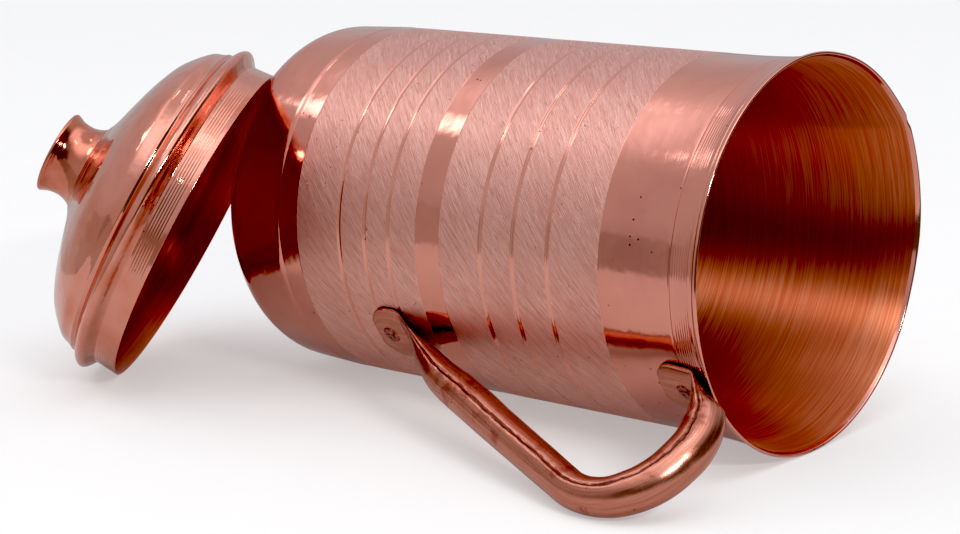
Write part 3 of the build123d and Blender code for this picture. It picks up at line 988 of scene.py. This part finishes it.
def make_knob():
    """The spool knob: a waisted tube with a thin turned rim and a dished top, open underneath."""
    side = smooth_through([(KNOB_FOOT, 40.4), (13.4, 42.9), KNOB_NECK, (12.9, 49.3), (13.75, 51.5)], 7)
    rim = [(14.05, 52.0), (14.1, 52.4), (13.9, 52.85), (13.5, KNOB_TOP), (13.1, 52.85), (12.8, 52.5)]
    dish = [(10.5, 52.0), (8.0, 51.75), (4.4, KNOB_DISH), (SHANK_RADIUS + 0.1, KNOB_DISH)]
    ceiling = KNOB_DISH - KNOB_SHEET
    under = [(SHANK_RADIUS + 0.1, ceiling), (8.0, ceiling), (11.6, KNOB_DISH - 1.0)]
    inner = [(11.7, 49.0), (11.7, 46.0), (12.2, 43.2), (13.4, 40.4)]
    profile = [(KNOB_FOOT, 40.12)] + side + rim + dish + under + inner + [(13.5, 40.12)]
    rings = revolve(profile, KNOB_TURNS)
    piece = build_piece("knob_spool", LID, rings, rings, True, (KNOB_POLISHED,), [0] * len(profile))
    add_to_frame(piece, "lid", "lid_copper", "lid_knob")


make_lid()
make_knob()


# ---------------------------------------------------------------- floor, light and camera

FLOOR_REACH = 6.0
FLOOR_COLOURS = ((0.55, 0.54, 0.525), (0.57, 0.56, 0.545))
FLOOR_GLOW = 0.39
FLOOR_GLOW_LOST = -0.25


def make_floor():
    """A plain pale floor, far larger than the object; its glow is weaker where the copper mirrors it."""
    mesh = bpy.data.meshes.new("floor")
    corners = [(x * FLOOR_REACH, y * FLOOR_REACH, 0) for x, y in ((-1, -1), (1, -1), (1, 1), (-1, 1))]
    mesh.from_pydata(corners, [], [(0, 1, 2, 3)])
    s = Shader("pale_floor")
    grain = s.noise(s.node("ShaderNodeTexCoord", {}).outputs["Object"], 40.0, 2.0)
    colour = s.mix(grain, *FLOOR_COLOURS)
    s.tree.links.new(colour, s.surface.inputs["Base Color"])
    s.surface.inputs["Roughness"].default_value = 0.9
    s.surface.inputs["Emission Color"].default_value = (1, 1, 1, 1)
    mirrored = s.node("ShaderNodeLightPath", {}).outputs["Is Glossy Ray"]
    glow = s.math("MULTIPLY_ADD", mirrored, FLOOR_GLOW_LOST, FLOOR_GLOW)
    s.tree.links.new(glow, s.surface.inputs["Emission Strength"])
    mesh.materials.append(s.material)
    floor = bpy.data.objects.new("floor", mesh)
    bpy.context.scene.collection.objects.link(floor)


# Darker parts of the sky: the direction of the middle of each, how far a view has to point that way for
# the shade to start and for it to be full, and the share of light left there
DARK_SKY = (
    ((0.98, 0.09, -0.70), 0.08, 0.42, 0.20),
    ((-0.20, 0.25, 0.95), 0.85, 0.97, 0.45),
)

# Brightness of the sky by height, from 0 at the horizon to 1 overhead
SKY_HORIZON = (0.25, 0.26, 0.275, 1)
SKY_LEVELS = ((0.30, 0.33), (0.545, 0.34), (0.643, 0.37), (0.72, 0.50), (0.76, 0.66), (0.82, 0.85))
SKY_TINT = (0.98, 1.0, 1.06)
SKY_OVERHEAD = (0.97, 1.0, 1.07, 1)
SKY_STRENGTH = 1.9


def make_sky():
    """A soft white ceiling over a dimmer grey band round the horizon."""
    world = bpy.data.worlds.new("studio")
    bpy.context.scene.world = world
    world.use_nodes = True
    tree = world.node_tree
    background = tree.nodes["Background"]
    place = tree.nodes.new("ShaderNodeTexCoord")
    parts = tree.nodes.new("ShaderNodeSeparateXYZ")
    ramp = tree.nodes.new("ShaderNodeValToRGB")
    tree.links.new(place.outputs["Generated"], parts.inputs[0])
    tree.links.new(parts.outputs[2], ramp.inputs[0])
    colour = ramp.outputs[0]
    for direction, first, last, level in DARK_SKY:
        towards = tree.nodes.new("ShaderNodeVectorMath")
        towards.operation = "DOT_PRODUCT"
        towards.inputs[1].default_value = direction
        tree.links.new(place.outputs["Generated"], towards.inputs[0])
        shade = tree.nodes.new("ShaderNodeMapRange")
        shade.interpolation_type = "SMOOTHSTEP"
        for socket, value in (("From Min", first), ("From Max", last), ("To Min", 1.0), ("To Max", level)):
            shade.inputs[socket].default_value = value
        tree.links.new(towards.outputs["Value"], shade.inputs["Value"])
        dimmed = tree.nodes.new("ShaderNodeVectorMath")
        dimmed.operation = "MULTIPLY"
        tree.links.new(colour, dimmed.inputs[0])
        tree.links.new(shade.outputs[0], dimmed.inputs[1])
        colour = dimmed.outputs[0]
    tree.links.new(colour, background.inputs["Color"])
    stops = ramp.color_ramp.elements
    stops[0].position = 0.0
    stops[0].color = SKY_HORIZON
    stops[1].position = 1.0
    stops[1].color = SKY_OVERHEAD
    for position, level in SKY_LEVELS:
        stop = stops.new(position)
        stop.color = (*(level * tint for tint in SKY_TINT), 1)
    background.inputs["Strength"].default_value = SKY_STRENGTH


# Screens: the azimuth that each stands at, in degrees, and how bright it is
SCREENS = ((150, 0.50), (-172, 0.55), (-135, 0.48), (-95, 0.38), (-45, 0.12), (15, 0.12), (80, 0.40))
SCREEN_DISTANCE = 0.36
SCREEN_HEIGHT = 0.13
SCREEN_FACES = 8


def make_flags():
    """Low grey screens round the set: the copper mirrors them, and the camera doesn't see them."""
    for number, (azimuth, level) in enumerate(SCREENS):
        after = SCREENS[(number + 1) % len(SCREENS)][0]
        before = SCREENS[number - 1][0]
        first = radians(azimuth - ((azimuth - before) % 360) / 2)
        last = radians(azimuth + ((after - azimuth) % 360) / 2)
        corners = []
        for k in range(SCREEN_FACES + 1):
            turn = first + (last - first) * k / SCREEN_FACES
            x, y = SCREEN_DISTANCE * cos(turn), SCREEN_DISTANCE * sin(turn)
            corners += [(x, y, 0.0), (x, y, SCREEN_HEIGHT)]
        faces = [(2 * k, 2 * k + 2, 2 * k + 3, 2 * k + 1) for k in range(SCREEN_FACES)]
        mesh = bpy.data.meshes.new(f"flag_{number}")
        mesh.from_pydata(corners, [], faces)
        s = Shader(f"flag_{number}")
        s.surface.inputs["Base Color"].default_value = (0, 0, 0, 1)
        s.surface.inputs["Emission Color"].default_value = (level, level, level, 1)
        s.surface.inputs["Emission Strength"].default_value = 1.0
        mesh.materials.append(s.material)
        flag = bpy.data.objects.new(f"flag_{number}", mesh)
        flag.visible_camera = False
        flag.visible_diffuse = False
        flag.visible_shadow = False
        bpy.context.scene.collection.objects.link(flag)


# Soft boxes: name, azimuth and elevation in degrees, width and height in metres, and power in watts
SOFTBOXES = (
    ("side_light", (-158, 43), (0.22, 0.16), 0.33),
    ("window_light", (170, 62), (0.16, 0.10), 0.12),
    ("skirt_light", (-20, 66), (0.30, 0.10), 0.35),
    ("mouth_light", (-24, 28), (0.30, 0.07), 4.5),
)
SOFTBOX_DISTANCE = 1.2


def add_softbox(name, direction, size, power):
    """An oblong area light out along (azimuth, elevation) in degrees, facing the object."""
    azimuth, elevation = (radians(v) for v in direction)
    low, high = cad_box
    middle = (Vector(low) + Vector(high)) / 2
    away = Vector((cos(azimuth) * cos(elevation), sin(azimuth) * cos(elevation), sin(elevation)))
    light = bpy.data.lights.new(name, "AREA")
    light.shape = "RECTANGLE"
    light.size, light.size_y = size
    light.energy = power
    lamp = bpy.data.objects.new(name, light)
    lamp.location = middle + away * SOFTBOX_DISTANCE
    lamp.rotation_euler = away.to_track_quat("Z", "Y").to_euler()
    lamp.visible_camera = False
    bpy.context.scene.collection.objects.link(lamp)


# Camera: place in metres, then how far it turns about the vertical, looks down and leans, in degrees
CAMERA_PLACE = (0.50704, -0.57401, 0.2243)
CAMERA_TURN = 40.506
CAMERA_DROP = 13.349
CAMERA_ROLL = -0.875
SENSOR_WIDTH = 36.0
LENS = 92.32


def make_camera():
    """The camera, on a long lens, a little above the jug and to the right of its mouth."""
    camera = bpy.data.cameras.new("camera")
    camera.sensor_width = SENSOR_WIDTH
    camera.lens = LENS
    camera.clip_start = 0.02
    shot = bpy.data.objects.new("camera", camera)
    turn = Matrix.Rotation(radians(CAMERA_TURN), 4, "Z")
    tilt = Matrix.Rotation(pi / 2 - radians(CAMERA_DROP), 4, "X")
    roll = Matrix.Rotation(radians(CAMERA_ROLL), 4, "Z")
    shot.matrix_world = Matrix.Translation(CAMERA_PLACE) @ (turn @ tilt @ roll)
    bpy.context.scene.collection.objects.link(shot)
    bpy.context.scene.camera = shot


make_floor()
make_sky()
make_flags()
for softbox in SOFTBOXES:
    add_softbox(*softbox)
make_camera()
BLACK_LEVEL = 0.04
grading = bpy.context.scene.view_settings
grading.view_transform = "Standard"
grading.use_curve_mapping = True
grading.curve_mapping.black_level = (BLACK_LEVEL, BLACK_LEVEL, BLACK_LEVEL)
